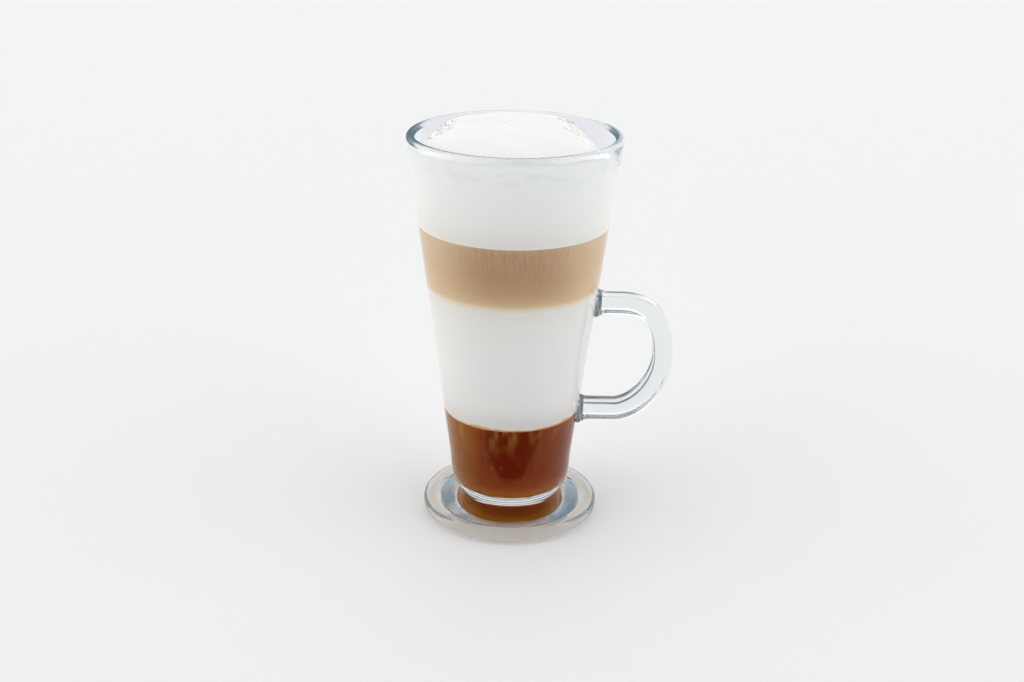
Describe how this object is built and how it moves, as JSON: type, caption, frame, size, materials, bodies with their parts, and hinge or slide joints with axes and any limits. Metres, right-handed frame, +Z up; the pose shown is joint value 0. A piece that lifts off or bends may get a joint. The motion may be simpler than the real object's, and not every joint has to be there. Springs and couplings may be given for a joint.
{
  "type": "latte macchiato in a footed glass mug",
  "caption": "Layered milk and coffee drink with caramel syrup below and a foam mound on top, in a tall tapered clear glass mug on a round foot with a side handle.",
  "frame": {"origin": "under the middle of the whole outline, on the surface that the foot stands on", "axes": "+Z up along the glass, +X towards the handle"},
  "size_m": [0.1018, 0.0796, 0.1556],
  "materials": {
    "clear_glass": "clear pressed glass, polished",
    "caramel_syrup": "dark translucent amber syrup",
    "milk": "opaque white liquid",
    "milky_coffee": "opaque tan liquid, streaked",
    "milk_foam": "fine dense foam, matt"
  },
  "bodies": {
    "root": {"glass": "clear_glass", "caramel_syrup": "caramel_syrup", "milk": "milk", "coffee": "milky_coffee", "foam": "milk_foam"}
  },
  "joints": []
}
